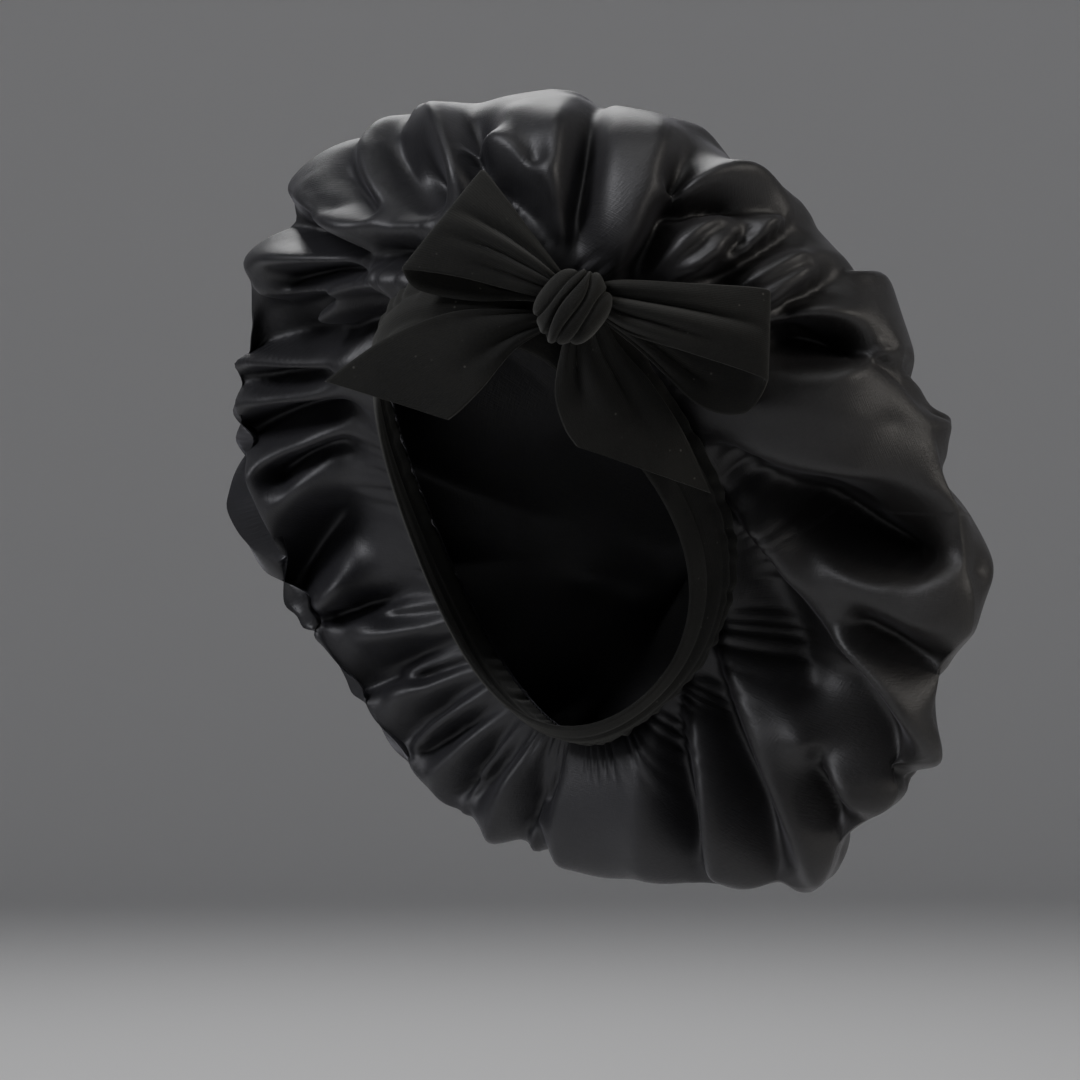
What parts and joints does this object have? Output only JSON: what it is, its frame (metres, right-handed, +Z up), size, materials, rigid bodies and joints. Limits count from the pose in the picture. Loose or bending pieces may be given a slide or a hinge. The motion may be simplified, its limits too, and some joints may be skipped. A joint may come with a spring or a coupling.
{
  "type": "sleep bonnet",
  "caption": "Large satin sleep bonnet: a gathered, puffed bag on a wide jersey band that ties in a bow at the temple.",
  "frame": {"origin": "middle of the space that the wearer's head fills, at the centre of the face opening's outline", "axes": "+Z up as worn, -Y the way the face looks, +X the wearer's left, where the bow is tied"},
  "size_m": [0.4078, 0.2919, 0.4082],
  "materials": {
    "satin": "black satin, smooth and lustrous",
    "jersey": "black brushed jersey, matte"
  },
  "bodies": {
    "root": {"crown": "satin", "band": "jersey", "knot": "jersey", "loop_left": "jersey", "loop_right": "jersey", "tail_left": "jersey", "tail_right": "jersey"}
  },
  "joints": []
}
